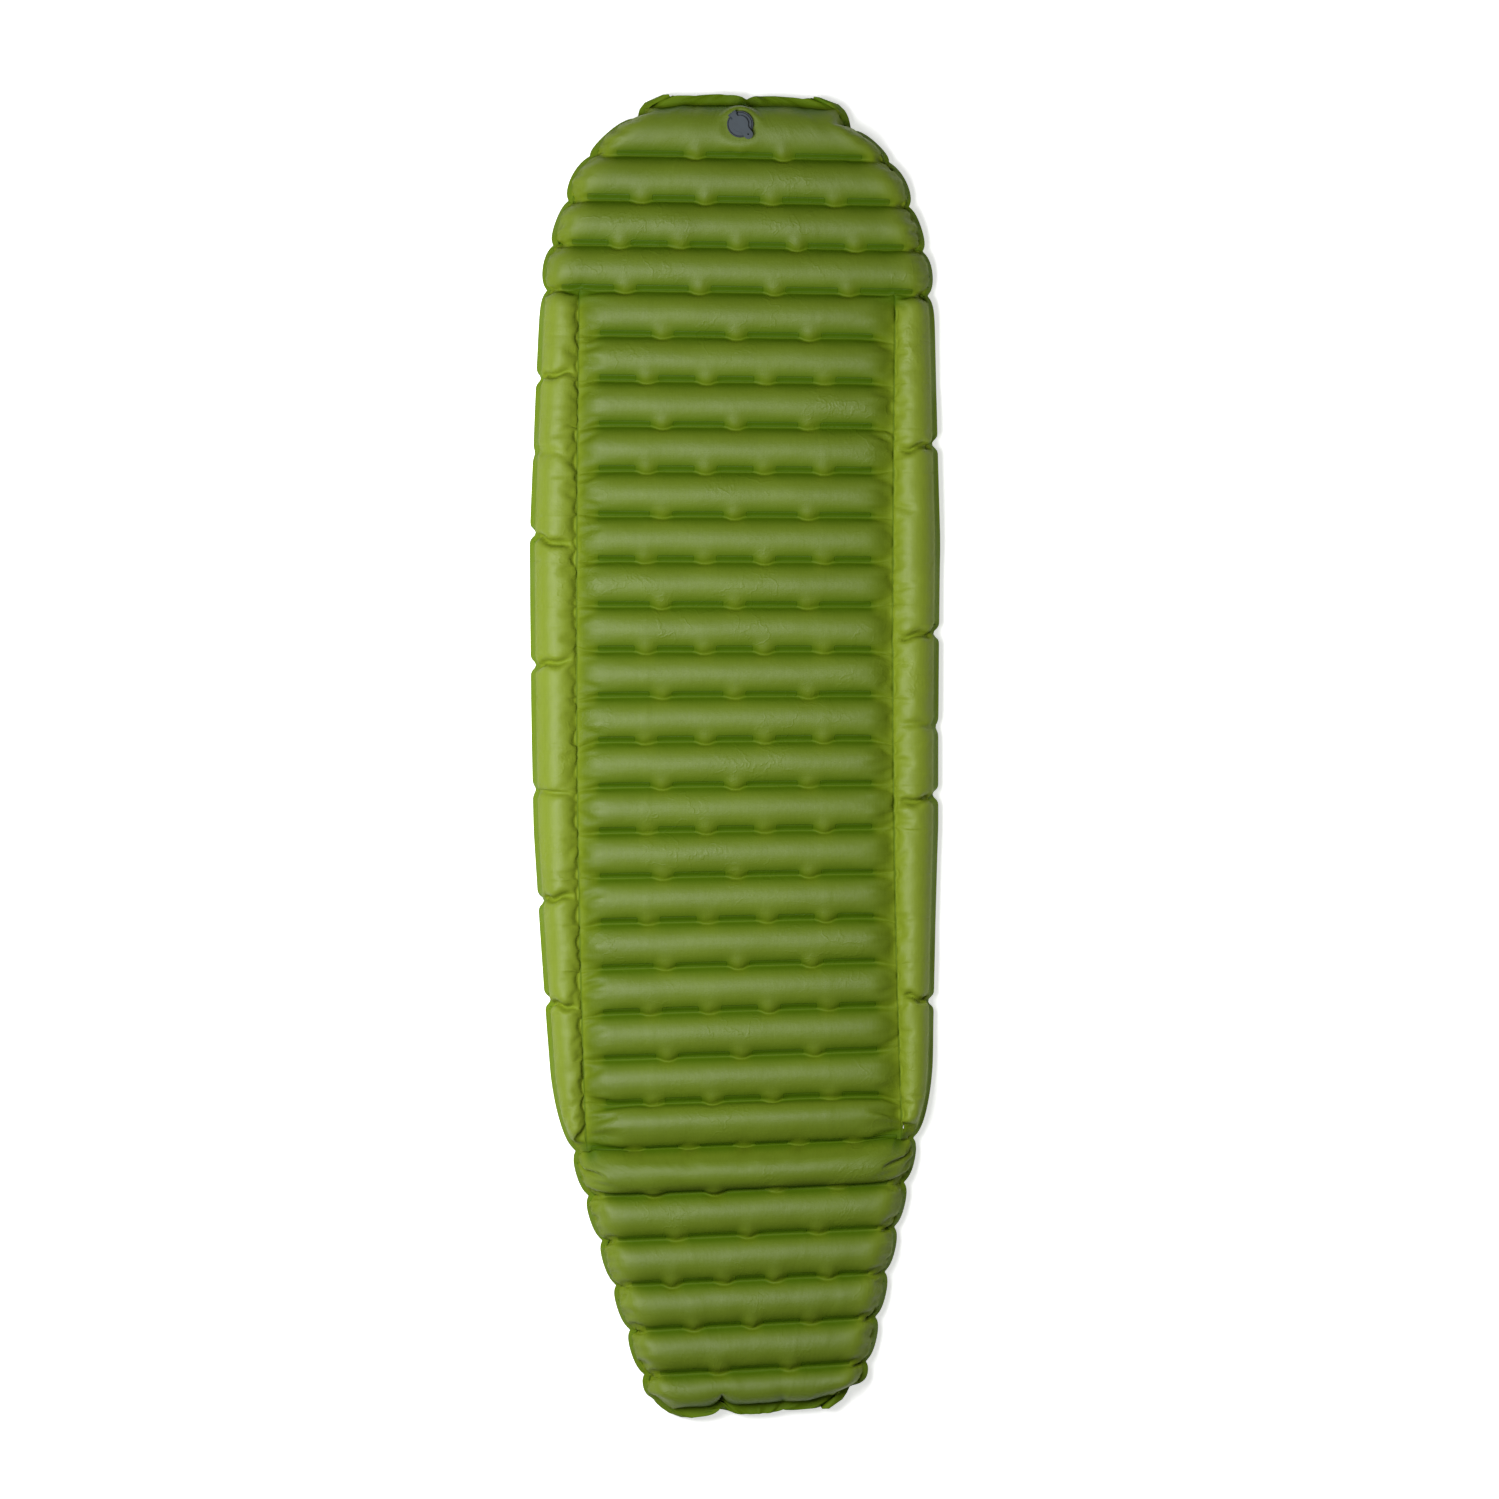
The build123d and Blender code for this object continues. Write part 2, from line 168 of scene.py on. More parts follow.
def tab_distance(row, across):
    """Signed distance across to the end of the nearest weld tab: positive inside a tab."""
    reach, tabs = tab_reach(row), TABS[row]
    length = (2 * reach - (tabs - 1) * TAB_GAP) / tabs
    centres = -reach + length / 2 + np.arange(tabs) * (length + TAB_GAP)
    off = np.abs(across[..., None] - centres).min(axis=-1)
    return length / 2 - off


def smooth(low, high, value):
    t = np.clip((value - low) / (high - low), 0, 1)
    return t * t * (3 - 2 * t)


def bell(distance, reach):
    """1 at no distance, and next to nothing beyond twice the reach."""
    return np.exp(-((distance / reach) ** 2))


# --- the flat grid: rows run across the pad, from the foot to the head ----------------------------
FOOT_TUBE_STEPS = 17
STRIP_STEPS = 2
ARC_STEPS = 16
HEAD_TUBE_STEPS = 21
FLANGE_STEPS = 2
FIELD_STEPS = 32
SHOULDER_STEPS = 6
RAIL_STEPS = 16
PITCH_STEPS = STRIP_STEPS + ARC_STEPS
LAST_LIP = FLANGE_STEPS + FOOT_TUBE_STEPS
SEAM_COLUMN = FIELD_STEPS + SHOULDER_STEPS
RIM_COLUMN = SEAM_COLUMN + RAIL_STEPS
HALF_COLUMNS = RIM_COLUMN + FLANGE_STEPS
COLUMNS = 2 * HALF_COLUMNS + 1
SIDE = np.sign(np.arange(COLUMNS) - HALF_COLUMNS)
ORDER = np.abs(np.arange(COLUMNS) - HALF_COLUMNS)  # columns counted from the middle line
ON_RAIL = np.clip(ORDER - SEAM_COLUMN, 0, RAIL_STEPS)
ON_RIM = np.clip(ORDER - RIM_COLUMN, 0, FLANGE_STEPS) / FLANGE_STEPS

SECTION_POINTS = 400
TUBE_RATIO = 1.155  # a tube's arc to its chord; the foot's tubes are a little fuller
FOOT_TUBE_EXTRA = 0.04
FOOT_TUBE_ROWS = (18, 26)


def lip_index(row):
    return LAST_LIP + PITCH_STEPS * (ROWS - 1 - row)


def arc_points(start, end, low_z, high_z):
    """Section of an end tube or a rail over a span, from its start height to its end height."""
    a0 = pi - np.arcsin((low_z - MID_Z) / (THICKNESS - MID_Z))
    a1 = np.arcsin((high_z - MID_Z) / (THICKNESS - MID_Z))
    angle = np.linspace(a0, a1, SECTION_POINTS)
    x = np.cos(angle)
    x = start + (end - start) * (x - x[0]) / (x[-1] - x[0])
    return x, MID_Z + (THICKNESS - MID_Z) * np.sin(angle)


def along_arc(x, z, shares):
    """Points at the given shares, 0 to 1, of a section's length."""
    length = np.concatenate([[0], np.cumsum(np.hypot(np.diff(x), np.diff(z)))])
    at = shares * length[-1]
    return np.interp(at, length, x), np.interp(at, length, z)


def tube_span(start, end, ratio):
    """Section of a tube between two welds, a circle's arc `ratio` times as long as its chord."""
    low, high = 0.01, 2.5
    for _ in range(40):
        half = (low + high) / 2
        if half / sin(half) < ratio:
            low = half
        else:
            high = half
    angle = np.linspace(-half, half, SECTION_POINTS)
    radius = (end - start) / 2 / sin(half)
    return (start + end) / 2 + radius * np.sin(angle), WELD_Z + radius * (np.cos(angle) - cos(half))


def row_profile():
    """Along position and height of every row on the pad's middle line."""
    along, height = [], []

    def add(x, z, shares):
        got_x, got_z = along_arc(x, z, shares)
        along.extend(got_x[:-1])
        height.extend(got_z[:-1])

    def with_strip(x, z, steps):
        length = np.hypot(np.diff(x), np.diff(z)).sum()
        strip = np.linspace(0, STRIP / length, STRIP_STEPS + 1)
        return np.concatenate([strip, np.linspace(STRIP / length, 1, steps + 1)[1:]])

    def add_flange(end):
        rim = np.linspace(end, end + FLANGE, FLANGE_STEPS + 1)
        add(rim, np.full(len(rim), MID_Z), np.linspace(0, 1, FLANGE_STEPS + 1))

    add_flange(FOOT_END)
    x, z = arc_points(FOOT_END + FLANGE, lip_along(ROWS - 1), MID_Z, WELD_Z)
    add(x, z, np.linspace(0, 1, FOOT_TUBE_STEPS + 1))
    for row in range(ROWS - 1, 0, -1):
        ratio = TUBE_RATIO + FOOT_TUBE_EXTRA * smooth(*FOOT_TUBE_ROWS, row)
        x, z = tube_span(lip_along(row), lip_along(row - 1), ratio)
        add(x, z, with_strip(x, z, ARC_STEPS))
    x, z = arc_points(lip_along(0), HEAD_END - FLANGE, WELD_Z, MID_Z)
    add(x, z, with_strip(x, z, HEAD_TUBE_STEPS))
    add_flange(HEAD_END - FLANGE)
    along.append(HEAD_END)
    height.append(MID_Z)
    return np.array(along), np.array(height)


ALONG, HEIGHT = row_profile()
GRID_ROWS = len(ALONG)
ROW_NUMBER = np.arange(GRID_ROWS)
HAS_RAIL = smooth(lip_along(RAIL_END_ROW), lip_along(RAIL_END_ROW) + 30, ALONG) * (
    1 - smooth(lip_along(RAIL_START_ROW) - 30, lip_along(RAIL_START_ROW), ALONG)
)
SEAM_ROWS = np.arange(lip_index(RAIL_END_ROW), lip_index(RAIL_START_ROW) + 1)


def noise_line(count, wavelength, seed):
    """Smooth random values from -1 to 1 along a line, about `wavelength` steps a wave."""
    local = np.random.default_rng(seed)
    knots = local.uniform(-1, 1, int(count / wavelength * 2) + 6)
    at = np.arange(count) / wavelength * 2
    i = at.astype(int)
    t = at - i
    t = t * t * (3 - 2 * t)
    return knots[i] * (1 - t) + knots[i + 1] * t


# --- the seeded start shape of the top sheet -------------------------------------------------------
# deep folds across the side rails: (distance along, depth, lean), from the head
LEFT_FOLDS = [
    (528, 0.8, -10),
    (419, 0.3, 8),
    (296, 1.0, 22),
    (128, 0.9, -8),
    (-50, 0.5, 6),
    (-195, 1.0, -8),
    (-344, 1.0, 10),
]
RIGHT_FOLDS = [(430, 1.0, 14), (167, 1.0, 10), (41, 0.45, -6), (-68, 1.0, 12), (-346, 1.0, -12)]
FOLD_REACH = 7.0
FOLD_DOWN = 15.0
FOLD_IN = 8.0
FOLD_SWAY = 3.0
FOLD_GATHER = 0.35  # how much of the cloth beside a fold is drawn into it
FOLD_GATHER_REACH = 16.0
# pinched corners of the head tube's sides and the foot tube's: (distance along, side, depth)
CORNER_PINCHES = [(903, -1, 1.8), (892, 1, 1.6), (-899, -1, 0.7), (-905, 1, 1.7)]
PINCH_REACH = 11.0
DEEP_PINCH_REACH = 15.0
PINCH_IN = 9.0
CORNER_IN = 7.0
CORNER_BACK = 8.0
PINCH_DOWN = 12.0
PINCH_BUCKLE = 5.0
# notches across the end rims: (distance across, depth)
HEAD_NOTCHES = [(8, 0.55), (-64, 0.15), (86, 0.2)]
FOOT_NOTCHES = [(-48, 1.5), (36, 0.4)]
NOTCH_REACH = 9.0
NOTCH_IN = 11.0
NOTCH_BUCKLE = 4.0
WIDEST_SLANT = 1.9  # the slanted rims are at most this many times as wide across as they are
SEAM_CREST = 2.0  # the field meets the seam this much above it
TUBE_END_FLAT = 30.0  # a full-width tube keeps its height this far past the seam's line
BRIDGE_EDGE = 13.0
BRIDGE_SAG = 3.6
BRIDGE_SAG_REACH = 10.0
BRIDGE_LIFT = 2.8
BRIDGE_LIFT_PLACE = 5.0
BRIDGE_LIFT_REACH = 9.0
BRIDGE_UNEVEN = 0.35
LEAN = 16.0
LEAN_REACH = 24.0
PUCKER = 2.6
GATHER = 4.6
GATHER_REACH = 5.0  # columns
WOBBLES = 6
WOBBLE = 0.5
SIDE_RIM_DROOP = {-1: -8.5, 1: -9.5}
SIDE_RIM_WAVE = 2.5
END_RIM_WAVE = 4.0
BOSS_RAMP = 22.0
BOSS_RAMP_HEAD = 7.0


class Shape:
    """The sheet's grid while it's being shaped. Distances across have no sign; `rim` lifts the rims."""

    def __init__(self):
        width = half_width(ALONG)
        slant = np.sqrt(1 + np.gradient(width, ALONG) ** 2)
        rim_width = (RIM_SHOWN * np.minimum(slant, WIDEST_SLANT))[:, None]
        seam_share = smooth(lip_along(RAIL_END_ROW) - 25, lip_along(RAIL_END_ROW) + 5, ALONG) * (
            1 - smooth(lip_along(RAIL_START_ROW) - 5, lip_along(RAIL_START_ROW) + 25, ALONG)
        )
        seam_at = (seam_share * SEAM + (1 - seam_share) * (width - RAIL_ZONE))[:, None]
        width = width[:, None]
        rail_width = width - seam_at - rim_width
        inner = np.interp(ORDER, [0, FIELD_STEPS, SEAM_COLUMN], [0, FIELD_REACH, SEAM])
        rail_x, rail_z = arc_points(0, 1, SEAM_Z, MID_Z)
        rail_span = RAIL_ZONE - FLANGE
        rail_x, rail_z = along_arc(rail_x * rail_span, rail_z, np.linspace(0, 1, RAIL_STEPS + 1))

        across = inner * (seam_at / SEAM)
        on_rail = seam_at + rail_x[ON_RAIL] / rail_span * rail_width
        across = np.where(ORDER > SEAM_COLUMN, on_rail, across)
        self.across = np.where(ORDER > RIM_COLUMN, width - rim_width + ON_RIM * rim_width, across)
        self.along = np.repeat(ALONG[:, None], COLUMNS, axis=1)
        self.rim = np.zeros((GRID_ROWS, COLUMNS))

        past = (self.across - (seam_at + TUBE_END_FLAT)) / (rail_width - TUBE_END_FLAT)
        round_off = np.sqrt(1 - np.clip(past, 0, 1) ** 2)
        full_width = MID_Z + (HEIGHT[:, None] - MID_Z) * round_off
        to_seam = smooth(FIELD_REACH, SEAM, inner)
        field = HEIGHT[:, None] * (1 - to_seam) + (SEAM_Z + SEAM_CREST) * to_seam
        railed = np.where(ORDER > SEAM_COLUMN, rail_z[ON_RAIL], field)
        has_rail = HAS_RAIL[:, None]
        self.z = full_width * (1 - has_rail) + railed * has_rail
        self.z = np.where(ORDER >= RIM_COLUMN, MID_Z, self.z)

    def bridge_tabs(self):
        """Between two weld tabs the sheet lifts off its baffle, and its crease sags to the foot."""
        for row in range(ROWS):
            from_lip = (ALONG - lip_along(row))[:, None]
            gap = smooth(0, -BRIDGE_EDGE, tab_distance(row, self.across * SIDE))
            gap = gap * (self.across < tab_reach(row))
            gap = gap * (1 + BRIDGE_UNEVEN * noise_line(COLUMNS, 9, BRIDGE_SEED + row))
            self.along -= BRIDGE_SAG * gap * bell(from_lip, BRIDGE_SAG_REACH)
            self.z += BRIDGE_LIFT * gap * bell(from_lip - BRIDGE_LIFT_PLACE, BRIDGE_LIFT_REACH)

    def lean_furrow_ends(self):
        """Between the last tab and the seam a furrow's end leans to the head or to the foot."""
        last = SEAM_COLUMN + 4
        lean = noise_line(ROWS * 2, 2.2, LEAN_SEED).reshape(ROWS, 2) * LEAN
        grow = smooth(FIELD_STEPS, last, ORDER) * (1 - smooth(SEAM_COLUMN - 1, last, ORDER))
        for row in range(RAIL_START_ROW + 1, RAIL_END_ROW):
            fade = bell(ALONG - lip_along(row), LEAN_REACH)[:, None]
            for index, hand in enumerate((-1, 1)):
                where = (SIDE == hand) & (ORDER > FIELD_STEPS) & (ORDER <= last)
                self.along += fade * (where * grow) * lean[row, index]

    def pinch_sides(self):
        """Pinches the side rims at every full-width furrow, and the end tubes' corners."""
        outer = smooth(SEAM_COLUMN - 4, RIM_COLUMN, ORDER)
        down = smooth(RIM_COLUMN - 7, RIM_COLUMN - 2, ORDER) * (ORDER < RIM_COLUMN)
        full_rows = [*range(RAIL_START_ROW + 1), *range(RAIL_END_ROW, ROWS)]
        pinches = [(lip_along(row), hand, 1.0) for row in full_rows for hand in (-1, 1)]
        for place, hand, depth in pinches + CORNER_PINCHES:
            reach = PINCH_REACH if depth <= 1 else DEEP_PINCH_REACH
            pinch = depth * np.exp(-np.abs(ALONG - place) / reach)[:, None] * (SIDE == hand)
            if abs(place) > FIRST_FURROW + TUBE_PITCH / 2:
                self.across -= CORNER_IN * pinch * outer
                self.along -= np.sign(place) * CORNER_BACK * pinch * outer
            else:
                self.across -= PINCH_IN * pinch * outer
            self.z -= PINCH_DOWN * pinch * down
            self.rim += PINCH_BUCKLE * pinch

    def notch_ends(self):
        for end, places in ((-1, FOOT_NOTCHES), (1, HEAD_NOTCHES)):
            from_end = (HEAD_END - end * ALONG)[:, None]
            near_end = 1 - smooth(FLANGE + 2, FLANGE + 26, from_end)
            for place, depth in places:
                pinch = depth * np.exp(-np.abs(self.across * SIDE - place) / NOTCH_REACH) * near_end
                self.along -= end * NOTCH_IN * pinch
                self.z -= NOTCH_IN * pinch * (from_end > FLANGE)
                self.rim += NOTCH_BUCKLE * pinch

    def fold_rails(self):
        outer = smooth(SEAM_COLUMN - 4, RIM_COLUMN, ORDER)
        body = smooth(SEAM_COLUMN + 1, SEAM_COLUMN + 6, ORDER)
        body = body * (1 - smooth(RIM_COLUMN - 2, RIM_COLUMN + 1, ORDER))
        for hand, folds in ((-1, LEFT_FOLDS), (1, RIGHT_FOLDS)):
            for place, depth, slant in folds:
                line = place + slant * np.interp(ORDER, [SEAM_COLUMN, RIM_COLUMN], [-0.5, 0.5])
                off = ALONG[:, None] - (line + FOLD_SWAY * np.sin(ORDER * 0.9 + place))
                near = bell(off, FOLD_REACH) * (SIDE == hand)
                self.z -= FOLD_DOWN * depth * near * body
                self.across -= FOLD_IN * depth * near * outer
                drawn = off * bell(off, FOLD_GATHER_REACH) * (SIDE == hand)
                self.along -= FOLD_GATHER * depth * drawn * body

    def pucker_seams(self):
        has_rail = HAS_RAIL[:, None]
        for hand in (-1, 1):
            ripple = noise_line(GRID_ROWS, 3.2, SEAM_RIPPLE_SEED + hand)[:, None] * PUCKER
            for distance, seed, share in (
                (SEAM_COLUMN - ORDER, INSIDE_PUCKER_SEED, 0.9),
                (ORDER - SEAM_COLUMN, OUTSIDE_PUCKER_SEED, 0.7),
            ):
                reach = 5 + 4 * noise_line(GRID_ROWS, 4, seed + hand)[:, None]
                fade = bell(np.abs(distance), reach) * ((distance >= 0) & (SIDE == hand))
                self.z += ripple * fade * has_rail * share

    def gather_tube_ends(self):
        for hand in (-1, 1):
            gather = noise_line(GRID_ROWS, 3.4, GATHER_SEED + hand)[:, None]
            fade = bell(RIM_COLUMN - ORDER, GATHER_REACH) * ((ORDER < RIM_COLUMN) & (SIDE == hand))
            self.z += gather * GATHER * fade * (1 - 0.7 * HAS_RAIL[:, None])

    def wobble(self):
        """The whole sheet is a little uneven."""
        for k in range(WOBBLES):
            wave = noise_line(GRID_ROWS, 9 + 5 * k, WOBBLE_ALONG_SEED + k)[:, None]
            wave = wave * noise_line(COLUMNS, 7 + 3 * k, WOBBLE_ACROSS_SEED + k)
            self.z += WOBBLE * wave * (ORDER < RIM_COLUMN)

    def wave_rims(self):
        for hand, droop in SIDE_RIM_DROOP.items():
            wave = noise_line(GRID_ROWS, 26, SIDE_RIM_SEED + hand)[:, None] * SIDE_RIM_WAVE + droop
            self.z += np.where(SIDE == hand, (wave + self.rim) * ON_RIM, 0)
        wave = noise_line(COLUMNS, 14, END_RIM_SEED) * END_RIM_WAVE
        past_rim = np.maximum(FLANGE_STEPS - ROW_NUMBER, ROW_NUMBER - (GRID_ROWS - 1 - FLANGE_STEPS))
        share = np.clip(past_rim / FLANGE_STEPS, 0, 1)[:, None]
        self.z += (wave + self.rim) * share * (ORDER <= RIM_COLUMN)

    def flatten_boss(self):
        away = np.hypot(self.across, self.along - VALVE_ALONG)
        to_head = smooth(0, 20, self.along - VALVE_ALONG)
        ramp = BOSS_RAMP - (BOSS_RAMP - BOSS_RAMP_HEAD) * to_head
        flat = 1 - smooth(BOSS_RADIUS, BOSS_RADIUS + ramp, away)
        self.z = self.z * (1 - flat) + THICKNESS * flat

    def points(self):
        """The grid's points, in millimetres, on the straight spine."""
        to_end = np.abs(ROW_NUMBER - (GRID_ROWS - 1) / 2)
        is_rim = (ORDER > RIM_COLUMN) | (to_end > (GRID_ROWS - 1) / 2 - FLANGE_STEPS)[:, None]
        z = np.where(is_rim, self.z, np.maximum(self.z, MID_Z))
        return np.stack([self.across * SIDE, self.along, z], axis=-1)


def start_shape():
    shape = Shape()
    shape.bridge_tabs()
    shape.lean_furrow_ends()
    shape.pinch_sides()
    shape.notch_ends()
    shape.fold_rails()
    shape.pucker_seams()
    shape.gather_tube_ends()
    shape.wobble()
    shape.wave_rims()
    shape.flatten_boss()
    return shape.points()


# --- the solver -----------------------------------------------------------------------------------
SOLVER_STEPS = 1200
# (share of the steps done, the air's push in millimetres a step, share of its speed that's kept)
STAGES = [(0.5, 0.030, 0.965), (0.8, 0.014, 0.94), (1.0, 0.006, 0.88)]
THREAD_GIVE = 0.5  # how firmly threads resist being squeezed, against 1 when they're stretched
BIAS_GIVE = 0.3
BIAS_HOLD = 0.4  # the cloth is softer on its bias
BEND_HOLD = 0.25
STIFFNESS = 0.06
RIM_STIFFNESS = 0.35
STRIP_STIFFNESS = 0.3
FIELD_EXTRA = 0.012  # spare length along the pad, towards the seams, at the seams and at the rims
SEAM_EXTRA = 0.05
SEAM_EXTRA_REACH = 4.5  # columns
RIM_EXTRA = 0.12
RIM_EXTRA_REACH = 5.5
RAIL_RIM_SHARE = 0.75  # how much less of it there is where a rail runs
TAB_HOLD = 1.0  # a weld holds this far past its ends
SEAM_RISE = 0.9
SEAM_WAVE = 0.8
RIM_HOLD = 0.06
MIDDLE_GAP = 0.8  # the sheet stays this far above the middle plane
WEB_SPARE = 4.0
TINY = 1e-6


def pull(x, weight, near, far, rest, give, hold=1.0):
    """Moves the points of each pair towards their rest distance; `near` and `far` are slices."""
    a, b = x[near], x[far]
    weight_a, weight_b = hold * weight[near], hold * weight[far]
    d = b - a
    length = np.sqrt(np.einsum("ijk,ijk->ij", d, d)) + TINY
    stretch = length - rest
    firm = np.where(stretch > 0, 1.0, give).astype(np.float32)
    total = weight_a + weight_b
    total[total == 0] = 1
    d *= (firm * stretch / length)[..., None] / total
    a += d * weight_a
    b -= d * weight_b


def unbend(x, weight, near, far, rest, stiff):
    """A springy bend: keeps two points apart, without pulling them together."""
    d = x[far] - x[near]
    length = np.sqrt(np.einsum("ijk,ijk->ij", d, d)) + TINY
    short = np.minimum(length - rest, 0)
    d *= (stiff * short / length)[..., None] * BEND_HOLD
    x[near] += d * weight[near]
    x[far] -= d * weight[far]


def steps_along(x):
    """Differences along the first axis: central, and one-sided at both ends."""
    step = np.empty_like(x)
    step[1:-1] = x[2:] - x[:-2]
    step[0] = x[1] - x[0]
    step[-1] = x[-1] - x[-2]
    return step


def distances(a, b):
    return np.linalg.norm(b - a, axis=-1).astype(np.float32)


def woven_pairs(points):
    """The cloth's threads and biases, as arguments of pull(), and its bends, as those of unbend()."""
    has_rail = HAS_RAIL[:, None]
    field = 1.0 + FIELD_EXTRA * smooth(FIELD_STEPS - 8, SEAM_COLUMN, ORDER) * has_rail
    near_seam = bell(ORDER - SEAM_COLUMN, SEAM_EXTRA_REACH) * has_rail
    near_rim = bell(ORDER - RIM_COLUMN, RIM_EXTRA_REACH) * (ORDER < RIM_COLUMN + 1)
    gather = 1 + SEAM_EXTRA * near_seam + RIM_EXTRA * (near_rim * (1 - RAIL_RIM_SHARE * has_rail))

    rest_along = distances(points[:-1], points[1:])
    for extra in (field, gather):
        rest_along *= ((extra[1:] + extra[:-1]) / 2).astype(np.float32)
    rest_across = distances(points[:, :-1], points[:, 1:])
    rest_bias = distances(points[:-1, :-1], points[1:, 1:])
    rest_other = distances(points[:-1, 1:], points[1:, :-1])

    near, far = [slice(k, -1, 2) for k in (0, 1)], [slice(k + 1, None, 2) for k in (0, 1)]
    every, pairs = slice(None), []
    for k in (0, 1):
        pairs.append((near[k], far[k], rest_along[k::2], THREAD_GIVE))
        pairs.append(((every, near[k]), (every, far[k]), rest_across[:, k::2], THREAD_GIVE))
    for i in (0, 1):
        for j in (0, 1):
            for a, b, rest in ((near[j], far[j], rest_bias), (far[j], near[j], rest_other)):
                pairs.append(((near[i], a), (far[i], b), rest[i::2, j::2], BIAS_GIVE, BIAS_HOLD))

    low, high = slice(None, -2), slice(2, None)
    bends = [
        (low, high, rest_along[1:] + rest_along[:-1]),
        ((every, low), (every, high), rest_across[:, 1:] + rest_across[:, :-1]),
    ]
    return pairs, bends


def solve(points, steps):
    """Inflates the top sheet: keeps its lengths, pushes it out and holds its welds."""
    shape = points.shape[:2]
    x = points.astype(np.float32).copy()
    pairs, bends = woven_pairs(points)
    at_end = (ROW_NUMBER < FLANGE_STEPS + 1) | (ROW_NUMBER > GRID_ROWS - 2 - FLANGE_STEPS)
    rim = (ORDER >= RIM_COLUMN)[None, :] | at_end[:, None]
    free = np.ones(shape, np.float32)
    lowest = np.where(rim, 0.0, MID_Z + MIDDLE_GAP).astype(np.float32)
    stiff = np.full(shape, STIFFNESS, np.float32)
    stiff[rim] = RIM_STIFFNESS
    for row in range(ROWS):
        index = lip_index(row)
        across = points[index, :, 0]
        held = tab_distance(row, across) > -TAB_HOLD
        free[index, held] = 0
        x[index, held, 2] = WELD_Z
        x[index, held, 1] = lip_along(row)
        over_web = np.abs(across) < tab_reach(row) + WEB_OVERRUN + WEB_SPARE
        lowest[index - 1:index + 2, over_web] = WELD_Z
        stiff[index + 1] = STRIP_STIFFNESS
    for hand in (-1, 1):
        column = HALF_COLUMNS + hand * SEAM_COLUMN
        free[SEAM_ROWS, column] = 0
        pucker = noise_line(GRID_ROWS, 3.0, SEAM_PIN_SEED + hand) * SEAM_WAVE
        x[SEAM_ROWS, column, 2] = SEAM_Z + SEAM_RISE + pucker[SEAM_ROWS]
    lowest[np.ix_(SEAM_ROWS, np.abs(ORDER - SEAM_COLUMN) < 2)] = SEAM_Z
    free[np.hypot(points[..., 0], points[..., 1] - VALVE_ALONG) < BOSS_RADIUS] = 0
    weight = free[..., None]
    rim_hold = (rim * RIM_HOLD).astype(np.float32)[..., None]
    stiff_bends = [stiff[1:-1], stiff[:, 1:-1]]

    start, previous = x.copy(), x.copy()
    for step in range(steps):
        push, keep = next((p, k) for until, p, k in STAGES if step / steps < until)
        step_across = np.swapaxes(steps_along(np.swapaxes(x, 0, 1)), 0, 1)
        normal = np.cross(step_across, steps_along(x))
        normal /= np.sqrt(np.einsum("ijk,ijk->ij", normal, normal))[..., None] + TINY
        normal[rim] = 0
        moved = x + (x - previous) * keep + normal * push
        previous = x
        x = np.where(weight > 0, moved, start).astype(np.float32)
        for pair in pairs:
            pull(x, weight, *pair)
        for bend, firm in zip(bends, stiff_bends):
            unbend(x, weight, *bend, firm)
        x += rim_hold * (start - x)
        x[..., 2] = np.maximum(x[..., 2], lowest)
    return x.astype(float)


# --- from the solved grid to meshes ---------------------------------------------------------------
def resample(values, at_rows, at_columns):
    """Smooth (Catmull-Rom) values of a grid at fractional rows and columns."""

    def along_axis(data, at):
        i = np.clip(np.floor(at).astype(int), 0, len(data) - 2)
        t = (at - i).reshape(-1, *([1] * (data.ndim - 1)))
        p0, p1 = data[np.maximum(i - 1, 0)], data[i]
        p2, p3 = data[i + 1], data[np.minimum(i + 2, len(data) - 1)]
        curve = 2 * p0 - 5 * p1 + 4 * p2 - p3 + t * (3 * (p1 - p2) + p3 - p0)
        return p1 + 0.5 * t * (p2 - p0 + t * curve)

    rows_done = along_axis(values, at_rows)
    return np.swapaxes(along_axis(np.swapaxes(rows_done, 0, 1), at_columns), 0, 1)


def grid_normals(points):
    normal = np.cross(np.gradient(points, axis=1), np.gradient(points, axis=0))
    return normal / (np.linalg.norm(normal, axis=-1, keepdims=True) + 1e-9)


def fine_positions(count, marks, offsets):
    """Whole grid positions, with extra ones round each mark."""
    extra = [mark + offset for mark in marks for offset in offsets]
    return np.array(sorted({*range(count), *extra}))


def build_sheet(name, points, fields, hole=None):
    """A fabric mesh from a grid of points, in millimetres, with its per-vertex fields.

    A sheet with a hole, (x, y, radius), faces up, and one without faces down.
    """
    index = np.arange(points[..., 0].size).reshape(points.shape[:2])
    quads = np.stack([index[:-1, :-1], index[:-1, 1:], index[1:, 1:], index[1:, :-1]], axis=-1)
    quads = quads.reshape(-1, 4)
    vertices = points.reshape(-1, 3) / 1000
    if hole is None:
        quads = quads[:, ::-1]
    else:
        centre, radius = np.array(hole[:2]) / 1000, hole[2] / 1000
        offset = vertices[:, :2] - centre
        away = np.hypot(offset[:, 0], offset[:, 1])
        middle = vertices[quads].mean(axis=1)
        cut = np.hypot(*(middle[:, :2] - centre).T) < radius
        rim = np.intersect1d(quads[cut].ravel(), quads[~cut].ravel())
        quads = quads[~cut]
        vertices[rim, :2] = centre + offset[rim] * (radius / away[rim])[:, None]
    used = np.unique(quads)
    order = np.full(len(vertices), -1)
    order[used] = np.arange(len(used))
    mesh = bpy.data.meshes.new(name)
    mesh.from_pydata(vertices[used].tolist(), [], order[quads].tolist())
    mesh.validate()
    mesh.shade_smooth()
    for key, value in fields.items():
        layer = mesh.attributes.new(key, "FLOAT", "POINT")
        layer.data.foreach_set("value", value.ravel()[used].astype(np.float32))
    piece = bpy.data.objects.new(name, mesh)
    bpy.context.scene.collection.objects.link(piece)
    return piece


